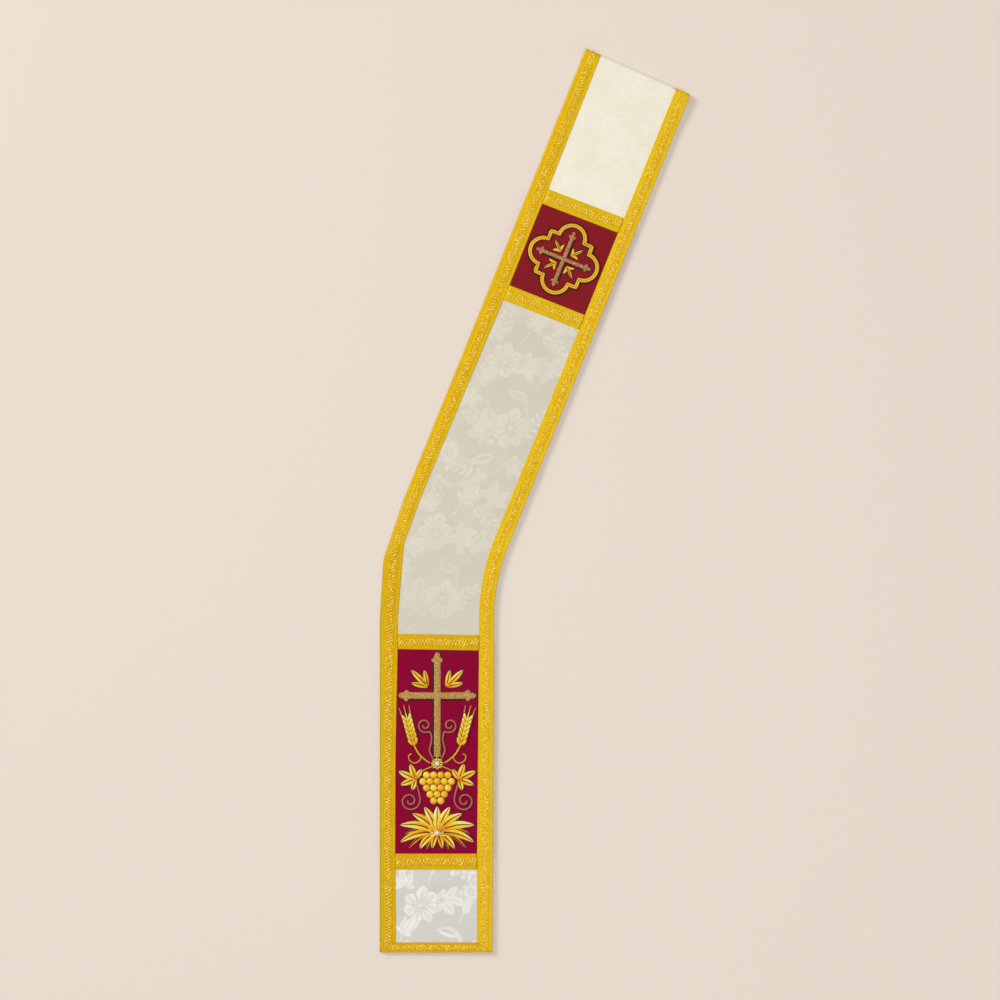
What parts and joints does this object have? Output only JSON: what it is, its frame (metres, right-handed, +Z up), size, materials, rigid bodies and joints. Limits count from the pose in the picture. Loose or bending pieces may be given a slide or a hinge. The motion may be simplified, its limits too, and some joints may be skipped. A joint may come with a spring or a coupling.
{
  "type": "deacon stole",
  "caption": "Long narrow church vestment band, folded at the shoulder and laid flat, with damask and crimson panels, gold galloon and raised embroidery.",
  "frame": {"origin": "bottom centre of the bounding box, under the middle of the whole outline", "axes": "+Z up from the surface that it lies on, +Y from the hem towards the shoulder fold, +X to the right as seen from above"},
  "size_m": [0.3861, 1.1252, 0.0077],
  "materials": {
    "damask": "satin",
    "crimson": "matte",
    "galloon": "satin",
    "gold_thread": "satin",
    "antique_thread": "satin"
  },
  "bodies": {
    "root": {"back_damask": "damask", "back_galloon_hem": "galloon", "back_galloon_left": "galloon", "back_galloon_right": "galloon", "corner_spray_left": "gold_thread", "corner_spray_right": "gold_thread", "crimson_lower": "crimson", "crimson_upper": "crimson", "damask_hem": "damask", "damask_long": "damask", "damask_shoulder": "damask", "galloon_across_chest": "galloon", "galloon_across_hem": "galloon", "galloon_across_hip": "galloon", "galloon_across_shoulder": "galloon", "galloon_hem": "galloon", "galloon_left_lower": "galloon", "galloon_left_upper": "galloon", "galloon_right": "galloon", "grape_bunch": "gold_thread", "lower_cross": "antique_thread", "medallion_cross": "antique_thread", "medallion_quatrefoil": "gold_thread", "medallion_spray_1": "gold_thread", "medallion_spray_2": "gold_thread", "medallion_spray_3": "gold_thread", "medallion_spray_4": "gold_thread", "palmette": "gold_thread", "tendril_high_left": "antique_thread", "tendril_high_right": "antique_thread", "tendril_low_left": "antique_thread", "tendril_low_right": "antique_thread", "tie_blossom": "gold_thread", "vine_leaf_left": "gold_thread", "vine_leaf_right": "gold_thread", "wheat_ear_left": "gold_thread", "wheat_ear_right": "gold_thread"}
  },
  "joints": []
}
